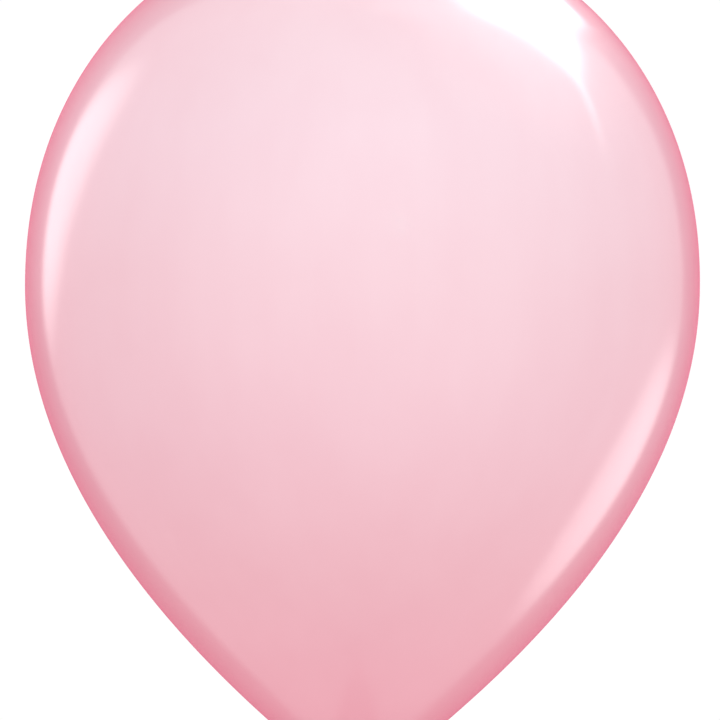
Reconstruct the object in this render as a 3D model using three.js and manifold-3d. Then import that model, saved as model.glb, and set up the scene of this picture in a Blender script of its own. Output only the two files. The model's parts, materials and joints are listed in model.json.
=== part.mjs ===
// An inflated latex balloon of the common 11 inch size, tied off with an overhand knot in its own neck.
//
// Millimetres, +Z up towards the crown. The origin is on the axis at the waist, the narrow place just
// above the knot where a ribbon is tied round the balloon or a stick's cup grips it.
// The latex is one moulding. It is cut here into the stretches that bend against each other:
// the bulb, the gathered neck above the knot, the knot, the tail below it and the rolled lip.
// Two neighbouring stretches meet as a ball in a socket, so that one can lean on the other.

import * as THREE from "three";
import Module from "manifold-3d";
import { ParametricGeometry } from "three/addons/geometries/ParametricGeometry.js";
import { mergeVertices } from "three/addons/utils/BufferGeometryUtils.js";

const wasm = await Module();
wasm.setup();

// ---- Driving dimensions ----

// Bulb: a rounded crown above the widest level, and a taper below it that flares out of the neck.
const bulbRadius = 140;
const crownHeight = 151; // widest level to crown
const crownRoundness = 2.1; // exponent of the crown's outline: 2 is an ellipse, more is fuller
const taperDepth = 211; // widest level to the point that the taper aims at
const flareRadius = 36; // hollow curve between the taper and the neck
const filmThickness = 0.05; // the stretched film, thicker than the real 0.012 so that it stays a sound solid
const neckWall = 0.25; // latex that isn't stretched
const thinningReach = 7; // the wall's extra thickness falls to a third every time the radius grows by this

// Gathered neck, between the bulb and the knot.
const neckLength = 8; // from the lower bend to the upper bend
const neckRadius = 2.5;

// Knot: an overhand knot in the gathered neck.
const strandRadius = 1.95;
const knotTightness = 0.45; // strand radius in units of the knot's route: at 0.46 the strands touch
const waistHeight = 2.5; // waist to the lower bend

// Tail: the neck's open end below the knot, pressed flat, with the lip rolled at its mouth.
const tailLength = 25; // from the tail's bend to its edge
const tailRootRadius = 2.2;
const tailMouthRadius = 8.4; // of the mouth if it were round
const tailWidening = 1.35; // how much wider than round the flat mouth is, along X
const tailFlattening = 0.6; // and how much thinner, along Y
const beadRadius = 1.1; // of the rolled lip

// Joints.
const socketHalfAngle = THREE.MathUtils.degToRad(40);
const clearance = 0.3;

// Facets.
const bulbSides = 40;
const crownRows = 11;
const taperRows = 10;
const flareRows = 5;
const stemSides = 20;
const strandSides = 10;
const strandSteps = 56;
const tailSides = 24;
const beadSides = 7;
const beadSteps = 36;

// ---- Places that follow from them, as heights on the axis ----

const neckBend = waistHeight; // the neck nods on the knot here
const bulbBend = neckBend + neckLength; // the bulb sways on the neck here
const knotUnit = strandRadius / knotTightness; // millimetres in one unit of the knot's route
const knotReach = 2.2; // from the knot's centre to each end of its route, in units
const knotCentre = neckBend - knotReach * knotUnit;
const tailBend = knotCentre - knotReach * knotUnit; // the tail flops on the knot here
const knotBallRadius = strandRadius + 0.1; // just proud of the strand that it ends
const neckSocketRadius = knotBallRadius + clearance;
const bulbSocketRadius = neckRadius + clearance;

// ---- Shared shaping ----

// A solid for the boolean library from a closed geometry.
function solidOf(geometry) {
  const bare = geometry.clone();
  bare.deleteAttribute("normal");
  bare.deleteAttribute("uv");
  const merged = mergeVertices(bare, 1e-4);
  return new wasm.Manifold(
    new wasm.Mesh({
      numProp: 3,
      vertProperties: new Float32Array(merged.attributes.position.array),
      triVerts: new Uint32Array(merged.index.array),
    }),
  );
}

function geometryOf(solid) {
  const mesh = solid.getMesh();
  const geometry = new THREE.BufferGeometry();
  geometry.setAttribute("position", new THREE.BufferAttribute(mesh.vertProperties, 3));
  geometry.setIndex(new THREE.BufferAttribute(mesh.triVerts, 1));
  geometry.computeVertexNormals();
  return geometry;
}

// A profile of [radius, height] pairs turned about Z. It runs upwards, from the axis to the axis.
function turned(profile, sides) {
  const points = profile.map(([radius, height]) => new THREE.Vector2(radius, height));
  return new THREE.LatheGeometry(points, sides).rotateX(Math.PI / 2);
}

// Points of a circular arc in a profile, centred on the axis, between two angles from +Z.
function axialArc(centreHeight, radius, fromAngle, toAngle, steps) {
  const points = [];
  for (let i = 0; i <= steps; i++) {
    const angle = THREE.MathUtils.lerp(fromAngle, toAngle, i / steps);
    const onAxis = angle === 0 || angle === Math.PI;
    points.push([onAxis ? 0 : radius * Math.sin(angle), centreHeight + radius * Math.cos(angle)]);
  }
  return points;
}

function part(name, geometry, colour, roughness) {
  const material = new THREE.MeshStandardMaterial({ color: colour, roughness, metalness: 0 });
  const mesh = new THREE.Mesh(geometry, material);
  mesh.name = name;
  return mesh;
}

const filmPink = 0xf6c4cf; // thin latex, light showing through
const thickPink = 0xe98fa6; // latex at its full thickness

// ---- Bulb ----

const mouthRadius = bulbSocketRadius * Math.sin(socketHalfAngle) + neckWall;
const mouthHeight = bulbBend + bulbSocketRadius * Math.cos(socketHalfAngle);

// Depth below the widest level where the flare runs into the taper with the same slope.
function flareDepth() {
  let low = 0;
  let high = taperDepth;
  for (let i = 0; i < 60; i++) {
    const depth = (low + high) / 2;
    const slope = Math.atan((2 * bulbRadius * depth) / taperDepth ** 2);
    const flare = mouthRadius + flareRadius * (1 - Math.cos(slope));
    if (bulbRadius * (1 - (depth / taperDepth) ** 2) > flare) low = depth;
    else high = depth;
  }
  return low;
}

// The film's outer outline from the mouth to the crown, each point with its outward normal.
function bulbOutline() {
  const meet = flareDepth();
  const meetSlope = Math.atan((2 * bulbRadius * meet) / taperDepth ** 2);
  const widest = mouthHeight + flareRadius * Math.sin(meetSlope) + meet;
  const outline = [];
  for (let i = 0; i < flareRows; i++) {
    const angle = (meetSlope * i) / flareRows;
    outline.push({
      radius: mouthRadius + flareRadius * (1 - Math.cos(angle)),
      height: mouthHeight + flareRadius * Math.sin(angle),
      normal: [Math.cos(angle), -Math.sin(angle)],
    });
  }
  for (let i = 0; i < taperRows; i++) {
    const depth = meet * (1 - i / taperRows);
    const slope = Math.atan((2 * bulbRadius * depth) / taperDepth ** 2);
    outline.push({
      radius: bulbRadius * (1 - (depth / taperDepth) ** 2),
      height: widest - depth,
      normal: [Math.cos(slope), -Math.sin(slope)],
    });
  }
  for (let i = 0; i <= crownRows; i++) {
    const angle = (i / crownRows) * (Math.PI / 2);
    const across = i === crownRows ? 0 : Math.cos(angle) ** (2 / crownRoundness);
    const up = Math.sin(angle) ** (2 / crownRoundness);
    const outwards = new THREE.Vector2(
      across ** (crownRoundness - 1) / bulbRadius,
      up ** (crownRoundness - 1) / crownHeight,
    ).normalize();
    outline.push({
      radius: bulbRadius * across,
      height: widest + crownHeight * up,
      normal: [outwards.x, outwards.y],
    });
  }
  return outline;
}

function filmAt(radius) {
  return filmThickness + (neckWall - filmThickness) * Math.exp((mouthRadius - radius) / thinningReach);
}

// The latex film: the outer form less the same form drawn in by the film's thickness, open at the mouth.
function bulb() {
  const outline = bulbOutline();
  const outer = outline.map(({ radius, height }) => [radius, height]);
  const inner = outline.map(({ radius, height, normal }) => {
    const film = filmAt(radius);
    return [Math.max(radius - normal[0] * film, 0), height - normal[1] * film];
  });
  const opening = [inner[0][0], mouthHeight - clearance];
  const form = solidOf(turned([[0, mouthHeight], ...outer], bulbSides));
  const air = solidOf(turned([[0, opening[1]], opening, ...inner], bulbSides));
  return geometryOf(form.subtract(air));
}

// ---- Gathered neck ----

// A stem with a socket in its foot, over the knot's ball, and a ball on its head, in the bulb's mouth.
function neck() {
  const foot = axialArc(neckBend, neckSocketRadius, 0, socketHalfAngle, 3);
  const head = axialArc(bulbBend, neckRadius, Math.PI / 2, 0, 5);
  const shoulder = [neckRadius, neckBend + neckLength / 2];
  return turned([...foot, shoulder, ...head], stemSides);
}

// ---- Knot ----

// Half of the overhand knot's route, from the middle strand that crosses its front, up round the left
// side, over the back, down through the loop and out at the bottom. In units, from the knot's centre.
const halfRoute = [
  [0, -0.75, 0],
  [-0.72, -0.66, 0.28],
  [-1.25, -0.02, 0.6],
  [-1.05, 0.78, 0.88],
  [-0.35, 1.22, 0.95],
  [0.35, 1.12, 0.7],
  [0.58, 0.72, 0.2],
  [0.42, 0.34, -0.3],
  [0.16, 0.08, -0.9],
  [0.02, 0, -1.55],
  [0, 0, -knotReach],
];

// The whole route, from the top down. Its upper half is the lower one turned half round the Y axis.
function knotRoute() {
  const upper = halfRoute.slice(1).reverse().map(([x, y, z]) => [-x, y, -z]);
  const points = [...upper, ...halfRoute].map(
    ([x, y, z]) => new THREE.Vector3(x * knotUnit, y * knotUnit, z * knotUnit + knotCentre),
  );
  return new THREE.CatmullRomCurve3(points, false, "centripetal");
}

function ball(height) {
  return turned(axialArc(height, knotBallRadius, Math.PI, 0, 6), 12);
}

// One strand all the way round, with a ball at each end for the neck and the tail to turn on.
function knot() {
  const section = new THREE.Shape().absarc(0, 0, strandRadius, 0, 2 * Math.PI);
  const strand = new THREE.ExtrudeGeometry(section, {
    steps: strandSteps,
    curveSegments: strandSides / 2, // an arc is cut into twice as many
    extrudePath: knotRoute(),
  });
  const balls = [neckBend, tailBend].map((height) => solidOf(ball(height)));
  return geometryOf(balls.reduce((whole, next) => whole.add(next), solidOf(strand)));
}

// ---- Tail ----

const tailEdge = tailBend - tailLength;
const tailThroat = tailBend - tailLength * 0.3; // the funnel opens below this

// The outer radius of the round funnel at a height: slender at first, then opening like a trumpet.
function funnelRadius(height) {
  const share = THREE.MathUtils.clamp((tailThroat - height) / (tailThroat - tailEdge), 0, 1);
  return THREE.MathUtils.lerp(tailRootRadius, tailMouthRadius, 1 - (1 - share) ** 1.6);
}

// How far a height is on the way from the round root to the flat mouth.
function flatness(height) {
  return THREE.MathUtils.smoothstep(tailThroat - height, 0, (tailThroat - tailEdge) * 0.8);
}

// A solid root with a socket over the knot's ball, which opens into a thin, flattened funnel.
function tail() {
  const rows = 7;
  const outer = [];
  const inner = [];
  for (let i = 0; i <= rows; i++) {
    const height = THREE.MathUtils.lerp(tailEdge, tailThroat, i / rows);
    const radius = funnelRadius(height);
    outer.push([radius, height]);
    inner.push([i === rows ? 0 : radius - neckWall, height]);
  }
  const socket = axialArc(tailBend, neckSocketRadius, Math.PI - socketHalfAngle, Math.PI, 3);
  const geometry = turned([...inner.reverse(), ...outer, ...socket], tailSides);
  const position = geometry.getAttribute("position");
  for (let i = 0; i < position.count; i++) {
    const flat = flatness(position.getZ(i));
    position.setX(i, position.getX(i) * THREE.MathUtils.lerp(1, tailWidening, flat));
    position.setY(i, position.getY(i) * THREE.MathUtils.lerp(1, tailFlattening, flat));
  }
  return geometry;
}

// ---- Rolled lip ----

const lipHeight = tailEdge - beadRadius - clearance;

// A round bead carried along the mouth's oval.
function rolledLip() {
  const across = tailMouthRadius * tailWidening;
  const through = tailMouthRadius * tailFlattening;
  const bead = (u, v, target) => {
    const along = 2 * Math.PI * u;
    const round = 2 * Math.PI * v;
    const out = new THREE.Vector2(Math.cos(along) / across, Math.sin(along) / through).normalize();
    const reach = beadRadius * Math.cos(round);
    target.set(
      across * Math.cos(along) + out.x * reach,
      through * Math.sin(along) + out.y * reach,
      lipHeight + beadRadius * Math.sin(round),
    );
  };
  return new ParametricGeometry(bead, beadSteps, beadSides);
}

// ---- Assembly ----

const balloon = new THREE.Group();
balloon.add(part("bulb", bulb(), filmPink, 0.2));
balloon.add(part("neck", neck(), thickPink, 0.35));
balloon.add(part("knot", knot(), thickPink, 0.35));
balloon.add(part("tail", tail(), thickPink, 0.35));
balloon.add(part("rolled_lip", rolledLip(), thickPink, 0.4));

export default balloon;
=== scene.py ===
"""An inflated latex balloon, tied off with a knot in its own neck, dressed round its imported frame."""

import json
import math

import bpy
import numpy as np
from mathutils import Matrix, Vector


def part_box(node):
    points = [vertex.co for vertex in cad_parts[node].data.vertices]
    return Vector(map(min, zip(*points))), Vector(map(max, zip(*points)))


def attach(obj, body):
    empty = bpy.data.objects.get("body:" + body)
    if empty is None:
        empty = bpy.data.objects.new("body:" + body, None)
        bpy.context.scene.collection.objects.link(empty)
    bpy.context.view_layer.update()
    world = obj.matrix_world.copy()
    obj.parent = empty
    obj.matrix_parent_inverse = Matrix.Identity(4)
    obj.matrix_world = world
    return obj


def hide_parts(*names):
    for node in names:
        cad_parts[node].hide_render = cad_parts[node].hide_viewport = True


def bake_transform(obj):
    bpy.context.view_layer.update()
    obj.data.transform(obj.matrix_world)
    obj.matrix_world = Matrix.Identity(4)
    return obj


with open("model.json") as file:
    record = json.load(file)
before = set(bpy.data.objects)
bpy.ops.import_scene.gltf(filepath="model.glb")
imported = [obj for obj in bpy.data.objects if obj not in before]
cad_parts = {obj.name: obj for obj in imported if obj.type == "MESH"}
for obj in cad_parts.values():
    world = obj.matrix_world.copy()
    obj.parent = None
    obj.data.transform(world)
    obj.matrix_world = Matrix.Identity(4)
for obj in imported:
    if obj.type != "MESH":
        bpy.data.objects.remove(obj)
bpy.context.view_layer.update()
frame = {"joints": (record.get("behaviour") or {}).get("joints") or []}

# ---------------------------------------------------------------------------------------------
# Camera. It is level and far off, and looks a little below the balloon's widest level.
# It is turned slightly about its own line of sight, so the balloon leans a little to the right.

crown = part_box("bulb")[1].z
crown_height = 0.151  # widest level to crown
widest_level = crown - crown_height

camera_distance = 2.6
view_width = 0.2991  # how much of the balloon's own plane the picture spans
aim_height = widest_level - 0.0312
aim_aside = -0.0006
lean = math.radians(0.75)

camera = bpy.data.objects.new("camera", bpy.data.cameras.new("camera"))
camera.data.lens = camera.data.sensor_width * camera_distance / view_width
camera.location = (aim_aside, -camera_distance, aim_height)
camera.rotation_euler = (math.pi / 2, -lean, 0)
bpy.context.scene.collection.objects.link(camera)
bpy.context.scene.camera = camera

# ---------------------------------------------------------------------------------------------
# Studio. The balloon floats in a white room over a pale floor, lit by a broad soft lamp in front.
# Its gloss mirrors a rose backdrop behind it, bright panels on both sides of that, and a flash
# above on the right. They belong to the room, so they stay where they are as the camera moves.

bpy.context.scene.view_settings.view_transform = "Standard"
bpy.context.scene.view_settings.look = "None"


class Wire:
    """An output of a node. Arithmetic on it adds Math nodes, and node() adds any other kind."""

    def __init__(self, tree, socket=None):
        self.tree = tree
        self.socket = socket

    def node(self, kind, settings=None, sockets=None, output=0):
        """Adds a node: its settings first, then a number, a colour or a Wire in each named socket."""
        made = self.tree.nodes.new("ShaderNode" + kind)
        for name, value in (settings or {}).items():
            if name == "stops":
                set_stops(made.color_ramp.elements, value)
            else:
                setattr(made, name, value)
        for name, value in (sockets or {}).items():
            if isinstance(value, Wire):
                self.tree.links.new(value.socket, made.inputs[name])
            else:
                made.inputs[name].default_value = value
        return Wire(self.tree, made.outputs[output] if made.outputs else None)

    def math(self, operation, first, second=0.0):
        return self.node("Math", {"operation": operation}, {0: first, 1: second})

    def __add__(self, other):
        return self.math("ADD", self, other)

    def __sub__(self, other):
        return self.math("SUBTRACT", self, other)

    def __mul__(self, other):
        return self.math("MULTIPLY", self, other)

    def __truediv__(self, other):
        return self.math("DIVIDE", self, other)

    def __rsub__(self, other):
        return self.math("SUBTRACT", other, self)

    def __rtruediv__(self, other):
        return self.math("DIVIDE", other, self)

    def __abs__(self):
        return self.math("ABSOLUTE", self)

    __radd__ = __add__
    __rmul__ = __mul__

    def rise(self, low, high):
        """0 below low, 1 above high and a smooth step between them. It falls where low is above high."""
        limits = {"Value": self, "From Min": low, "From Max": high}
        return self.node("MapRange", {"interpolation_type": "SMOOTHSTEP"}, limits)


def set_stops(elements, stops):
    """Gives a ramp its stops, each a place from 0 to 1 and a colour."""
    while len(elements) < len(stops):
        elements.new(1.0)
    for element, (place, colour) in zip(elements, stops):
        element.position = place
        element.color = (*colour, 1.0)


room = bpy.data.worlds.new("room")
bpy.context.scene.world = room
room.use_nodes = True
room.node_tree.nodes.clear()
empty_room = Wire(room.node_tree)
outwards = empty_room.node("TexCoord", output="Generated")
right, back, up = (empty_room.node("SeparateXYZ", sockets={0: outwards}, output=axis) for axis in "XYZ")
degrees = 180 / math.pi
bearing = empty_room.math("ARCTAN2", right, back) * degrees  # 0 straight behind, 90 to the right
height_angle = empty_room.math("ARCSINE", up) * degrees

half_turn = 180
mirrored_colours = [  # by degrees from straight behind the balloon: the backdrop, then the walls
    (0, (0.76, 0.25, 0.35)),
    (14, (0.74, 0.22, 0.32)),
    (25, (0.66, 0.10, 0.20)),
    (37, (0.60, 0.05, 0.15)),
    (42, (1.05, 0.7, 0.76)),
    (62, (1.0, 0.63, 0.7)),
    (110, (0.62, 0.3, 0.37)),
    (half_turn, (0.5, 0.2, 0.27)),
]
wall_stops = [(aside / half_turn, colour) for aside, colour in mirrored_colours]
mirrored_room = empty_room.node("ValToRGB", {"stops": wall_stops}, {0: abs(bearing) / half_turn})


def oval_panel(bearing_middle, height_middle, half_width, half_height, slant):
    """How bright a slanting oval lamp looks in each direction, in degrees: 1 in its middle, and a
    smooth fall with the sum of the squares of the shares of its half height and half width."""
    off = (height_angle - height_middle) / half_height
    aside = (bearing - bearing_middle + (height_angle - height_middle) * slant) / half_width
    return (off * off + aside * aside).rise(1.3, 0.1)


# The panels are cut off where the backdrop hides them.
left_panel = oval_panel(-51, 14, half_width=14, half_height=21, slant=0.35) * bearing.rise(-38, -43)
right_panel = oval_panel(49, -23, half_width=14, half_height=18, slant=0.19) * bearing.rise(37, 43)

# The flash is a field with a slanting foot that levels off, and a faint haze spreads from it towards
# the front of the room. The backdrop hides what lies behind it.
off_behind = empty_room.math("ARCCOSINE", back) * degrees
beside_backdrop = off_behind.rise(33, 41)
foot_slope = 0.65
foot_levels_off = 42.0
over_foot = height_angle - bearing.math("MINIMUM", bearing, foot_levels_off) * foot_slope
flash = bearing.rise(2, 12) * bearing.rise(72, 62) * over_foot.rise(6, 16) * height_angle.rise(70, 58)
haze = bearing.rise(45, 78) * bearing.rise(130, 85) * over_foot.rise(-8, 16)

# A thin ray runs down from the flash's corner and narrows to nothing at its tip.
ray_root_bearing, ray_root_height = 66.0, 38.0
ray_across, ray_down = 15.0, 16.0
ray_half_width = 2.6
ray_length = math.hypot(ray_across, ray_down)
past_root = bearing - ray_root_bearing
over_root = height_angle - ray_root_height
along_ray = (past_root * ray_across - over_root * ray_down) / ray_length**2
off_ray = abs(past_root * ray_down + over_root * ray_across) / ray_length
ray = off_ray.rise(ray_half_width, 0.0) * along_ray.rise(1.1, 0.1) * along_ray.rise(-0.6, 0.0)

# Each lamp by its brightness.
panels = left_panel * 2.0 + right_panel * 1.6 + (flash * 9.0 + haze * 0.7) * beside_backdrop + ray * 4.0

backdrop = 1.02  # how bright the room is behind the balloon, as the camera sees it
surroundings = 0.83  # how brightly the room lights the balloon
white = (1.0, 1.0, 1.0, 1.0)
seen = empty_room.node("LightPath", output="Is Camera Ray")
glossy = empty_room.node("LightPath", output="Is Glossy Ray")
mirrored = empty_room.node("AddShader", sockets={
    0: empty_room.node("Background", sockets={"Color": mirrored_room}),
    1: empty_room.node("Background", sockets={"Color": white, "Strength": panels}),
})
lighting = empty_room.node("Background", sockets={"Color": white, "Strength": surroundings})
plain = empty_room.node("Background", sockets={"Color": white, "Strength": backdrop})
lit = empty_room.node("MixShader", sockets={0: glossy, 1: lighting, 2: mirrored})
empty_room.node("OutputWorld", sockets={0: empty_room.node("MixShader", sockets={0: seen, 1: lit, 2: plain})})


def hang(light, target, direction, distance):
    """Hangs a light in a direction from its target, facing it, where neither camera nor gloss sees it."""
    holder = bpy.data.objects.new(light.name, light)
    towards = Vector(direction).normalized()
    place = Matrix.Translation(Vector(target) + towards * distance)
    holder.matrix_world = place @ towards.to_track_quat("Z", "Y").to_matrix().to_4x4()
    holder.visible_glossy = False
    holder.visible_camera = False
    bpy.context.scene.collection.objects.link(holder)


softbox = bpy.data.lights.new("front_softbox", "AREA")
softbox.size = 1.3
softbox.energy = 10.5
hang(softbox, target=(0, 0, aim_height), direction=(0.04, -0.86, 0.5), distance=2.2)

# A narrow cool lamp makes a pale pool on the upper front.
soft_spot = bpy.data.lights.new("soft_spot", "SPOT")
soft_spot.spot_size = math.radians(8.5)
soft_spot.spot_blend = 1.0
soft_spot.shadow_soft_size = 0.15
soft_spot.energy = 70
soft_spot.color = (0.26, 1.0, 0.85)
hang(soft_spot, target=(0.02, -0.12, widest_level + 0.02), direction=(0.2, -0.9, 0.25), distance=2.0)

floor_level = -0.6
floor_radius = 2.3
solid_radius = 0.9  # from here outwards the floor fades into the room
rim_count = 96
turn = np.linspace(0, 2 * np.pi, rim_count, endpoint=False)
edge = np.stack([np.cos(turn), np.sin(turn), np.zeros(rim_count)], axis=-1) * floor_radius
floor_mesh = bpy.data.meshes.new("floor")
floor_mesh.from_pydata((edge + [0, 0, floor_level]).tolist(), [], [list(range(rim_count))])
floor = bpy.data.objects.new("floor", floor_mesh)
floor.visible_glossy = False
bpy.context.scene.collection.objects.link(floor)

pale_paper = bpy.data.materials.new("pale_paper")
pale_paper.use_nodes = True
pale_paper.node_tree.nodes.clear()
sheet = Wire(pale_paper.node_tree)
on_floor = sheet.node("TexCoord", output="Object")
distance_out = sheet.node("VectorMath", {"operation": "LENGTH"}, {0: on_floor}, output="Value")
paper = sheet.node("BsdfDiffuse", sockets={"Color": (0.93, 0.92, 0.92, 1.0)})
clear = sheet.node("BsdfTransparent")
fade = distance_out.rise(solid_radius, floor_radius)
sheet.node("OutputMaterial", sockets={0: sheet.node("MixShader", sockets={0: fade, 1: paper, 2: clear})})
floor.data.materials.append(pale_paper)

# ---------------------------------------------------------------------------------------------
# Bulb. The latex film, blown up to several times its dipped size. It is thinnest and palest round
# the crown, keeps a darker spot of thicker rubber on top, and gathers into pleats at the neck.

bulb_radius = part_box("bulb")[1].x
neck_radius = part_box("neck")[1].x
taper_depth = 0.211  # widest level to the point that the taper aims at
crown_roundness = 2.1  # exponent of the crown's outline: 2 is an ellipse, more is fuller
flare_radius = 0.036  # hollow curve between the taper and the neck
bend = {joint["name"]: joint["pos_m"][2] for joint in frame["joints"]}

# The film and the neck meet below the bend. Each goes inside the other past the seam, and they
# cross at a shallow angle, so that no line shows.
seam = bend["neck_sway"] - 0.005
crossing = 0.0006  # half the height over which they cross
dip = 0.00003  # how far below its full radius each is at the far end of the crossing
tuck = 0.0003  # and how far at its hidden end

full_circle = 2 * np.pi
fine_pleats, fine_depth = 26, 0.00034  # how many there are round the neck, and how deep
broad_pleats, broad_depth = 13, 0.0005
crease_shade_full_depth = 0.0004  # the painted shade in a pleat is at its darkest this far below the ridges


def spaced(outline, place):
    """Points along an outline at the given shares of its length, by interpolating its coordinates."""
    steps = np.linalg.norm(np.diff(outline, axis=0), axis=1)
    length = np.concatenate([[0], np.cumsum(steps)])
    return np.stack([np.interp(place * length[-1], length, column) for column in outline.T], axis=-1)


def turned(radius, around, height):
    """Rings of points about the balloon's axis: radius times the cosine and the sine of the angle."""
    return np.stack(np.broadcast_arrays(radius * np.cos(around), radius * np.sin(around), height), axis=-1)


def marked_piece(name, points, faces, marks):
    """An object from points and faces. Each mark, a number or a place for every point, is kept as an
    attribute. So is each point's place at rest, which the latex reads so that its pattern bends."""
    mesh = bpy.data.meshes.new(name)
    mesh.from_pydata(points.tolist(), [], faces)
    mesh.shade_smooth()
    for mark, values in {"place": points, **marks}.items():
        kind, field = ("FLOAT_VECTOR", "vector") if values.ndim == 2 else ("FLOAT", "value")
        mesh.attributes.new(mark, kind, "POINT").data.foreach_set(field, values.astype(np.float32).ravel())
    piece = bpy.data.objects.new(name, mesh)
    bpy.context.scene.collection.objects.link(piece)
    return piece


def closed_skin(name, rings, **marks):
    """A closed piece from rings of points: quads between and round the rings, and a fan over each end
    about the ring's mean point."""
    rows, around = rings.shape[:2]
    here = np.arange(rows * around).reshape(rows, around)
    beside = np.roll(here, -1, axis=1)
    quads = np.stack([here[:-1], beside[:-1], beside[1:], here[1:]], axis=-1).reshape(-1, 4)
    first = np.stack([np.full(around, rows * around), beside[0], here[0]], axis=-1)
    last = np.stack([np.full(around, rows * around + 1), here[-1], beside[-1]], axis=-1)

    def with_middles(values):
        """The values of all the rings' points, and of the middles of the first and the last ring."""
        return np.concatenate([values.reshape(-1, *values.shape[2:]), values[[0, -1]].mean(axis=1)])

    marks = {mark: with_middles(values) for mark, values in marks.items()}
    return marked_piece(name, with_middles(rings), quads.tolist() + first.tolist() + last.tolist(), marks)


def pleats(around, count, seed=0.0):
    """Folds round a gathered neck, from 0 in the sharp creases to 1 on the round ridges: the size of
    a sine of the angle, whose own angle is pushed to and fro so that no two folds are equally wide."""
    uneven = around + 0.16 * np.sin(2 * around + seed) + 0.09 * np.sin(5 * around + 1.7 + seed)
    return np.abs(np.sin(count / 2 * uneven))


def bulb_outline():
    """The film's outline, radius and height: a straight stem, an arc that flares out of it until it
    meets the parabola of the taper, and a superellipse from the widest level to the crown."""
    depth = np.linspace(0, taper_depth, 20001)
    slope = np.arctan(2 * bulb_radius * depth / taper_depth**2)
    taper = bulb_radius * (1 - (depth / taper_depth) ** 2)
    meet = np.argmax(taper < neck_radius + flare_radius * (1 - np.cos(slope)))
    arc = np.linspace(0, slope[meet], 200)
    start = widest_level - depth[meet] - flare_radius * np.sin(slope[meet])
    rise = np.linspace(0, np.pi / 2, 800)[1:-1]
    stem = [[neck_radius, seam + crossing]]
    flare = [neck_radius + flare_radius * (1 - np.cos(arc)), start + flare_radius * np.sin(arc)]
    tapered = [taper[:meet:60], widest_level - depth[:meet:60]]
    crowned = [
        bulb_radius * np.cos(rise) ** (2 / crown_roundness),
        widest_level + crown_height * np.sin(rise) ** (2 / crown_roundness),
    ]
    return np.vstack([stem, np.transpose(flare), np.transpose(tapered)[::-1], np.transpose(crowned)])


rows, columns = 230, 400
share = np.linspace(0, 1, rows)
closer_at_neck = 0.7 * share**2 + 0.3 * share
tucked_end = [[neck_radius - tuck, seam - 2 * crossing], [neck_radius - dip, seam - crossing]]
outline = np.vstack([tucked_end, spaced(bulb_outline(), closer_at_neck)])
around = np.linspace(0, full_circle, columns, endpoint=False)[None, :]
radius, height = outline[:, :1], outline[:, 1:]

# Fine pleats fade as the film leaves the neck. Broad ones start above the seam and run further out.
fine_reach = 0.008
broad_middle, broad_reach = 0.009, 0.007  # the radius where they are deepest, and how far they reach from it
broad_growth = 0.008  # how far above the seam they have their full depth
fine_fold = fine_depth * np.exp(-((radius - neck_radius) / fine_reach) ** 2)
broad_fold = broad_depth * np.exp(-((radius - broad_middle) / broad_reach) ** 2)
broad_fold = broad_fold * np.clip((height - seam) / broad_growth, 0, 1)
fine_fold = fine_fold * (pleats(around, fine_pleats) - 1)
broad_fold = broad_fold * (pleats(around, broad_pleats, 0.6) - 1)
film_folds = (fine_fold + broad_fold) * (height < widest_level)
film_rings = turned(radius + film_folds, around, height)
# Painted shade: the film's colour is darkened down in its pleats.
film_crease_shade = np.clip(-film_folds / crease_shade_full_depth, 0, 1)
along_pleats = np.array([1.0, 1.0, 0.1])  # squeezes a grain so that it runs along the pleats
bulb_skin = closed_skin("bulb_skin", film_rings, crease=film_crease_shade, grain=film_rings * along_pleats)

latex_colours = [  # by height, from the lip up to the crown
    (-0.044, (0.72, 0.18, 0.285)),
    (-0.02, (0.74, 0.2, 0.305)),
    (0.0, (0.77, 0.225, 0.33)),
    (0.012, (0.84, 0.28, 0.385)),
    (0.03, (0.92, 0.355, 0.45)),
    (0.067, (0.98, 0.45, 0.53)),
    (0.12, (0.97, 0.51, 0.58)),
    (0.18, (0.96, 0.565, 0.64)),
    (0.24, (0.94, 0.59, 0.66)),
    (0.30, (0.93, 0.63, 0.705)),
    (0.36, (0.93, 0.65, 0.715)),
]
ramp_low, ramp_high = -0.045, 0.4  # the heights that the ramp of these colours runs between


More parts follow.
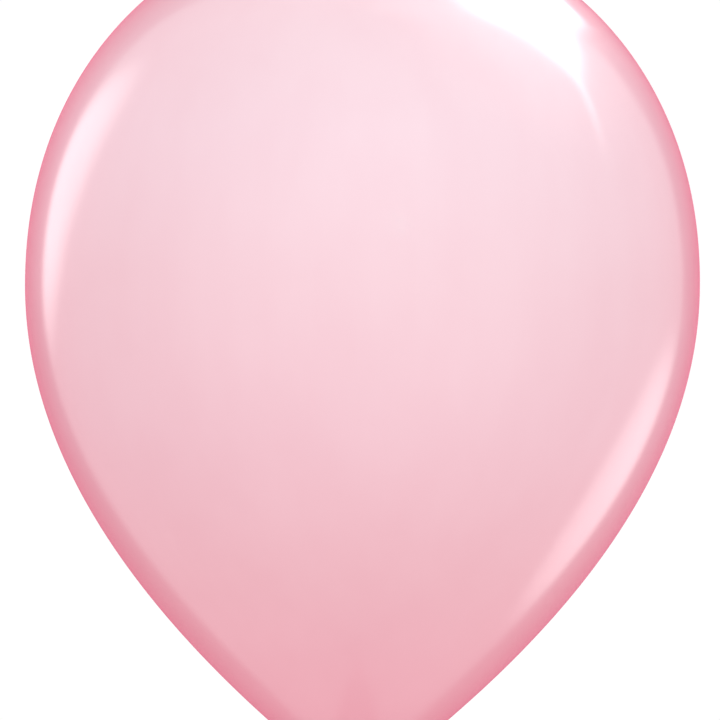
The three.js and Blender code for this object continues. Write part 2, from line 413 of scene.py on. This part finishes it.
def latex(name, roughness, coat, crease_shade_depth, crown_spot=False):
    """Pink latex: a colour that fades with height as the rubber is stretched thinner, blotches and
    drip marks left by the dipping, painted shade darkening the creases, and a fine unevenness under a gloss."""
    material = bpy.data.materials.new(name)
    material.use_nodes = True
    material.node_tree.nodes.clear()
    start = Wire(material.node_tree)

    def deepen(colour, shade, amount):
        """The colour multiplied by a shade, as far as the amount says."""
        settings = {"data_type": "RGBA", "blend_type": "MULTIPLY"}
        return start.node("Mix", settings, {0: amount, 6: colour, 7: shade}, output=2)

    place = start.node("Attribute", {"attribute_name": "place"}, output="Vector")
    height = start.node("SeparateXYZ", sockets={0: place}, output="Z")
    stops = [((level - ramp_low) / (ramp_high - ramp_low), colour) for level, colour in latex_colours]
    colour = start.node("ValToRGB", {"stops": stops}, {0: (height - ramp_low) / (ramp_high - ramp_low)})

    cloud = start.node("TexNoise", sockets={"Vector": place, "Scale": 22.0, "Detail": 3.0})
    long_way = start.node("Mapping", sockets={"Vector": place, "Scale": (70.0, 70.0, 7.0)})
    drip = start.node("TexNoise", sockets={"Vector": long_way, "Scale": 1.0, "Detail": 2.0})
    patchy = (cloud.rise(0.3, 0.75) * 0.6 + drip.rise(0.3, 0.75) * 0.4) * 0.16
    colour = deepen(colour, (0.9, 0.72, 0.76, 1.0), patchy)

    # Painted shade: the colour is darkened in the creases and where turns press together, as far as this mark
    # says.
    crease = start.node("Attribute", {"attribute_name": "crease"}, output="Fac")
    colour = deepen(colour, (0.62, 0.34, 0.42, 1.0), crease * crease_shade_depth)
    if crown_spot:
        level = start.node("Mapping", sockets={"Vector": place, "Scale": (1.0, 1.0, 0.0)})
        off_axis = start.node("VectorMath", {"operation": "LENGTH"}, {0: level}, output="Value")
        thick_spot = off_axis.rise(0.017, 0.004) * height.rise(widest_level, crown)
        colour = deepen(colour, (0.88, 0.62, 0.7, 1.0), thick_spot)

    grain = start.node("Attribute", {"attribute_name": "grain"}, output="Vector")
    pitted = start.node("TexNoise", sockets={"Vector": place, "Scale": 1400.0, "Detail": 2.0})
    wrinkled = start.node("TexNoise", sockets={"Vector": grain, "Scale": 1900.0, "Detail": 3.0})
    gathered = height.rise(0.03, 0.009)
    relief = pitted * 0.05 + wrinkled * gathered
    uneven = {"Strength": 0.8, "Distance": 0.00012, "Height": relief}

    surface = start.node("BsdfPrincipled", sockets={
        "Base Color": colour,
        "Roughness": roughness + (cloud - 0.5) * 0.1,
        "IOR": 1.5,
        "Coat Weight": coat,
        "Coat Roughness": 0.12,
        "Coat IOR": 1.5,
        "Sheen Weight": 1.0,
        "Sheen Roughness": 0.35,
        "Sheen Tint": (0.62, 0.1, 0.18, 1.0),
        "Normal": start.node("Bump", sockets=uneven),
    })
    start.node("OutputMaterial", sockets={0: surface})
    return material


bulb_skin.data.materials.append(latex("stretched_film", 0.5, 1.0, 0.5, crown_spot=True))
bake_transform(bulb_skin)
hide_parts("bulb")

# ---------------------------------------------------------------------------------------------
# Neck. The film's narrow end, pulled tight into a short stem of lengthwise pleats. It is the same
# rubber as the bulb, runs straight into it above, and is squeezed into the knot below.

stem_top = seam + 2 * crossing
stem_foot = -0.0036  # hidden in the knot
stem_outline = np.array([
    [0.0013, stem_foot], [0.0021, -0.0018], [neck_radius, 0.001], [neck_radius, seam - crossing],
    [neck_radius - dip, seam + crossing], [neck_radius - tuck, stem_top],
])
stem_height = stem_foot + (stem_top - stem_foot) * np.linspace(0, 1, 60)[:, None]
stem_radius = np.interp(stem_height, stem_outline[:, 1], stem_outline[:, 0])
stem_folds = fine_depth * (pleats(around, fine_pleats) - 1)
stem_rings = turned(stem_radius + stem_folds, around, stem_height)
# Painted shade: the stem's colour is darkened down in its pleats.
stem_crease_shade = np.clip(-stem_folds / crease_shade_full_depth, 0, 1) + 0 * stem_height
neck_skin = closed_skin("neck_skin", stem_rings, crease=stem_crease_shade, grain=stem_rings * along_pleats)
neck_skin.data.materials.append(latex("gathered_film", 0.5, 1.0, 0.5))
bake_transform(neck_skin)
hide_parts("neck")

# ---------------------------------------------------------------------------------------------
# Knot. An overhand knot tied in the neck itself. The strand is soft, so where it crosses itself
# the turns press flat against each other, and its skin is creased along its length.

knot_low, knot_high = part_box("knot")
ball_radius = 0.00205  # of the ball at each end of the frame's strand
knot_reach = 2.2  # from the knot's middle to each end of its route, in units
knot_middle = (knot_low.z + knot_high.z) / 2
knot_unit = ((knot_high.z - knot_low.z) / 2 - ball_radius) / knot_reach
half_route = np.array([
    [0, -0.75, 0], [-0.72, -0.66, 0.28], [-1.25, -0.02, 0.6], [-1.05, 0.78, 0.88],
    [-0.35, 1.22, 0.95], [0.35, 1.12, 0.7], [0.58, 0.72, 0.2], [0.42, 0.34, -0.3],
    [0.16, 0.08, -0.9], [0.02, 0, -1.55], [0, 0, -knot_reach],
])


def smooth_route(points, count):
    """A centripetal Catmull-Rom curve through points, sampled evenly along its length: a cubic over
    each gap, whose slopes weigh the gaps on both sides by the square root of their length."""
    points = np.vstack([2 * points[0] - points[1], points, 2 * points[-1] - points[-2]])
    gap = np.linalg.norm(np.diff(points, axis=0), axis=1)[:, None] ** 0.5
    step = np.diff(points, axis=0)
    wide = (points[2:] - points[:-2]) / (gap[1:] + gap[:-1])
    slope = step[:-1] / gap[:-1] - wide + step[1:] / gap[1:]
    along = np.linspace(0, 1, 60, endpoint=False)[None, :, None]
    here, there = points[1:-2, None], points[2:-1, None]
    leave, arrive = (slope[:-1] * gap[1:-1])[:, None], (slope[1:] * gap[1:-1])[:, None]
    curve = (
        (2 * along**3 - 3 * along**2 + 1) * here + (along**3 - 2 * along**2 + along) * leave
        + (3 * along**2 - 2 * along**3) * there + (along**3 - along**2) * arrive
    ).reshape(-1, 3)
    return spaced(np.vstack([curve, points[-2:-1]]), np.linspace(0, 1, count))


def carried_frame(route):
    """Two unit vectors square to a route at each of its points that don't twist along it: vectors
    taken square to a fixed direction, turned back by the sum of the twist between neighbours."""
    ahead = np.gradient(route, axis=0)
    ahead /= np.linalg.norm(ahead, axis=1, keepdims=True)
    side = np.cross(ahead, [0.31, 0.27, 0.91])
    side /= np.linalg.norm(side, axis=1, keepdims=True)
    other = np.cross(ahead, side)
    before = side[:-1] - (side[:-1] * ahead[1:]).sum(1, keepdims=True) * ahead[1:]
    twist = np.arctan2((before * other[1:]).sum(1), (before * side[1:]).sum(1))
    twist = np.concatenate([[0], np.cumsum(twist)])[:, None]
    return side * np.cos(twist) + other * np.sin(twist), other * np.cos(twist) - side * np.sin(twist)


strand_foot, strand_head = -0.0146, 0.0002  # it ends inside the tail and inside the neck
upper_route = half_route[:0:-1] * [-1, 1, -1]
route = np.vstack([upper_route, half_route]) * knot_unit + [0, 0, knot_middle]
route = smooth_route(route[::-1], 420)
route = route[(route[:, 2] > strand_foot) & (route[:, 2] < strand_head)]
side, other = carried_frame(route)
around_strand = np.linspace(0, full_circle, 96, endpoint=False)[None, :, None]
outward = side[:, None] * np.cos(around_strand) + other[:, None] * np.sin(around_strand)

strand_radius = 0.86 * knot_unit
narrow_share = 0.2  # of the strand's length, over which it narrows at each end
end_share = 0.36  # of its radius, which is left at the very end
along = np.linspace(0, 1, len(route))[:, None]
fullness = np.clip(np.minimum(along, 1 - along) / narrow_share, 0, 1) ** 0.45
free_radius = strand_radius * (end_share + (1 - end_share) * fullness)


def room_to_swell(route, outward):
    """How far each of the strand's surface points may go out before it is as near to another turn:
    half the squared distance to each point of the other turns over the part of it that lies outward."""
    nowhere_near = 1.0
    touching_share = 0.985
    same_turn = 4  # steps along the route
    across_to = route[None] - route[:, None]
    reach = np.einsum("ijk,ilk->ilj", across_to, outward)
    halfway = (across_to**2).sum(-1)[:, None] / (2 * np.maximum(reach, 1e-6))
    halfway = np.where(reach > 1e-6, halfway, nowhere_near)
    place = np.arange(len(route))
    neighbours = np.abs(place[:, None] - place) < same_turn
    return np.where(neighbours[:, None], nowhere_near, halfway).min(axis=2) * touching_share


# The strand's own radius and the room for it are joined smoothly, by a sum of their inverse powers.
swell_room = room_to_swell(route, outward)
squeezed = (free_radius**-6.0 + swell_room**-6.0) ** (-1 / 6)
strand_pleats, pleat_winding, pleat_cut = 13, 2.2, 0.00022  # how many, how far they wind, and how deep
groove = pleats(around_strand[:, :, 0] + pleat_winding * along, strand_pleats, 0.4)
squeezed = squeezed - pleat_cut * (1 - groove)
strand_rings = route[:, None] + outward * squeezed[..., None]
# Painted shade: the strand is darkened in its grooves and where its turns press against each other.
pressed = np.clip(1 - swell_room / free_radius, 0, 1)
strand_crease_shade = np.clip(0.75 * (1 - groove) ** 2 + 1.4 * pressed, 0, 1)
run = np.linalg.norm(np.diff(route, axis=0), axis=1).sum() * along
strand_grain = turned(strand_radius, around_strand[..., 0], run) * along_pleats
knot_skin = closed_skin("knot_skin", strand_rings, crease=strand_crease_shade, grain=strand_grain)
knot_skin.data.materials.append(latex("knotted_film", 0.42, 1.0, 0.55))
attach(knot_skin, "knot")
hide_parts("knot")

# ---------------------------------------------------------------------------------------------
# Tail. What is left of the balloon's own neck below the knot: a tube of unstretched rubber that
# leaves the knot in tight pleats, opens into a flattened, fluted skirt and ends in an open mouth.

tail_low, tail_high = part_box("tail")
skirt_top = -0.0126  # hidden in the knot
skirt_edge = tail_low.z - 0.0004
skirt_root_radius = 0.00215
skirt_wall = 0.00035
throat = 0.42  # the share of the tail above which it is a solid bunch of folds
root_share = 0.16  # the share of it that stays a thin stem
collar_share, collar_cut = 0.03, 0.0011  # the share that is narrower still, and by how much at the top
skirt_pleats, pleat_depth = 12, 0.0006
broad_flute, small_flute = 0.0012, 0.0005  # how far the flutes wave in and out at the edge
broad_droop, small_droop = 0.0007, 0.0005  # how far the edge itself waves up and down


def skirt(around, down):
    """The tail's outer face, down from 0 at its root to 1 at its edge: a thin stem that widens with
    a power of the distance into an oval, with pleats near the root that open into flutes."""
    spread = np.clip((down - root_share) / (1 - root_share), 0, 1) ** 1.6
    wide = skirt_root_radius + (tail_high.x - skirt_root_radius) * spread
    deep = skirt_root_radius + (tail_high.y - skirt_root_radius) * spread
    narrowed = np.clip(1 - down / collar_share, 0, 1) ** 1.5 * collar_cut
    fold = pleats(around, skirt_pleats, 0.9) - 1
    pleat = pleat_depth * fold * (1 - 0.7 * spread) * np.clip(down / 0.1, 0.3, 1)
    flute = spread * (broad_flute * np.sin(5 * around + 0.7) + small_flute * np.sin(9 * around + 2.1))
    droop = spread**2 * (broad_droop * np.sin(2 * around + 0.5) + small_droop * np.sin(5 * around + 2.2))
    height = skirt_top + (skirt_edge - skirt_top) * down + droop
    grown = pleat + flute - narrowed
    surface = np.stack(np.broadcast_arrays(
        (wide + grown) * np.cos(around), (deep + grown) * np.sin(around), height,
    ), axis=-1)
    # Besides the surface, it gives the painted shade that darkens the pleats' creases.
    return surface, np.clip(-pleat / pleat_depth, 0, 1) + 0 * height


# The inner face runs down from a nearly closed throat and meets the outer one at the edge.
round_tail = np.linspace(0, full_circle, 240, endpoint=False)[None, :]
outside_down = np.linspace(1, 0, 110)[:, None]
inside_down = np.linspace(throat, 1, 64)[:, None]
outer, outer_crease_shade = skirt(round_tail, outside_down)
inner, inner_crease_shade = skirt(round_tail, inside_down)
inward = -turned(1.0, round_tail, 0 * inside_down)
inner = inner + inward * skirt_wall * np.clip((inside_down[..., None] - throat) / 0.05, 0.02, 1)
inner[0] *= [0.15, 0.15, 1]
tail_rings = np.vstack([inner, outer])
tail_crease_shade = np.vstack([inner_crease_shade, outer_crease_shade])
tail_skirt = closed_skin("tail_skirt", tail_rings, crease=tail_crease_shade, grain=tail_rings * along_pleats)
tail_skirt.data.materials.append(latex("unstretched_rubber", 0.5, 0.55, 0.6))
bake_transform(tail_skirt)
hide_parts("tail")

# ---------------------------------------------------------------------------------------------
# Rolled lip. The edge of the mouth, rolled up on itself into a round bead while the rubber was
# wet. It follows the skirt's edge, and a fine groove round it, darkened with painted shade, shows
# where the roll ends.

lip_low, lip_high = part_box("rolled_lip")
bead_radius = (lip_high.z - lip_low.z) / 2 * 1.02
roll_angle, roll_width, roll_depth = 0.9, 0.16, 0.16  # where the line is round the bead, in radians

round_lip = np.linspace(0, full_circle, 320, endpoint=False)
round_bead = np.linspace(0, full_circle, 40, endpoint=False)[None, :]
lip_line, _ = skirt(round_lip[None, :], np.array([[1.0]]))
lip_line = lip_line[0] - [0, 0, bead_radius * 0.7]
ahead = np.roll(lip_line, -1, axis=0) - np.roll(lip_line, 1, axis=0)
ahead /= np.linalg.norm(ahead, axis=1, keepdims=True)
away_from_mouth = np.cross(ahead, [0, 0, 1.0])
away_from_mouth /= np.linalg.norm(away_from_mouth, axis=1, keepdims=True)
upward = np.cross(away_from_mouth, ahead)
off_line = np.angle(np.exp(1j * (round_bead - roll_angle)))
roll_line = np.exp(-((off_line / roll_width) ** 2))
unequal = 1 + 0.05 * np.sin(3 * round_lip + 1.0) + 0.03 * np.sin(8 * round_lip)
bead = bead_radius * unequal[:, None] * (1 - roll_depth * roll_line)
bead_rings = (
    lip_line[:, None] + away_from_mouth[:, None] * (bead * np.cos(round_bead))[..., None]
    + upward[:, None] * (bead * np.sin(round_bead))[..., None]
)


def closed_ring(name, rings, **marks):
    """A closed piece from rings of points that follow each other round a loop: quads all the way. The
    rings turn the other way about their path than a skin's do, so the quads run the other way too."""
    rows, around = rings.shape[:2]
    here = np.arange(rows * around).reshape(rows, around)
    beside, after = np.roll(here, -1, axis=1), np.roll(here, -1, axis=0)
    quads = np.stack([here, after, np.roll(after, -1, axis=1), beside], axis=-1).reshape(-1, 4)
    marks = {mark: values.reshape(-1, *values.shape[2:]) for mark, values in marks.items()}
    return marked_piece(name, rings.reshape(-1, 3), quads.tolist(), marks)


# Painted shade: the bead is darkened along the groove where the roll ends.
lip_roll_shade = roll_line + 0 * unequal[:, None]
lip_bead = closed_ring("lip_bead", bead_rings, crease=lip_roll_shade, grain=bead_rings)
lip_bead.data.materials.append(latex("rolled_rubber", 0.48, 0.6, 0.7))
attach(lip_bead, "tail")
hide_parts("rolled_lip")
